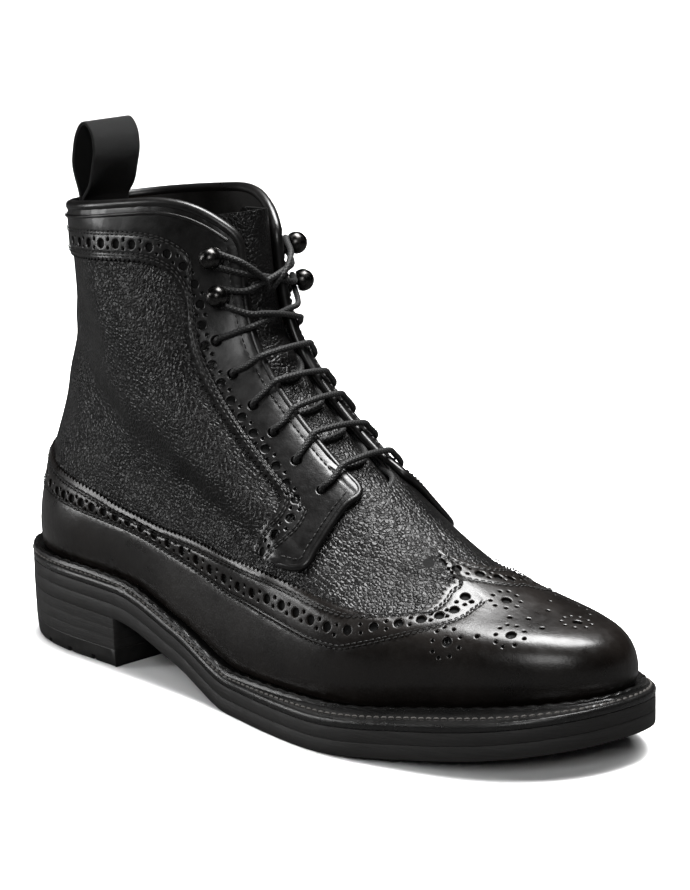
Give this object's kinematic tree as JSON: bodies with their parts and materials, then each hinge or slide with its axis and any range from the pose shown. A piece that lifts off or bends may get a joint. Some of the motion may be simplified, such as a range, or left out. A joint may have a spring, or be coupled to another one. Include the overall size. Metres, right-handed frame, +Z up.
{
  "type": "lace-up wingtip boot",
  "caption": "Right-foot black leather lace-up ankle boot with brogued wing toe, ball hooks, webbing pull loop, stitched welt and stacked heel, hollow and open at the collar.",
  "frame": {"origin": "on the floor, under the middle of the boot's bounding box", "axes": "+X from heel to toe, +Y to the inner (medial) side, +Z up"},
  "size_m": [0.3072, 0.1128, 0.2108],
  "materials": {
    "calf": "smooth black calf, waxed to a soft shine",
    "grain": "black pebble-grain leather, satin",
    "edge": "inked leather edge, dark grey, satin",
    "rubber": "matt black rubber",
    "insole": "plain brown leather sock, matt",
    "metal": "gunmetal lacquer, satin",
    "cloth": "black waxed cord and black webbing"
  },
  "bodies": {
    "root": {"upper": "grain", "facing": "calf", "wing": "calf", "collar_binding": "calf", "tongue": "grain", "outsole": "rubber", "midsole": "edge", "insole": "insole", "welt": "edge", "heel_stack": "edge", "heel_top_piece": "rubber", "hook_outer_1": "metal", "hook_inner_1": "metal", "hook_outer_2": "metal", "hook_inner_2": "metal", "lace": "cloth", "lace_end_outer": "cloth", "lace_end_inner": "cloth", "pull_loop": "cloth"}
  },
  "joints": []
}
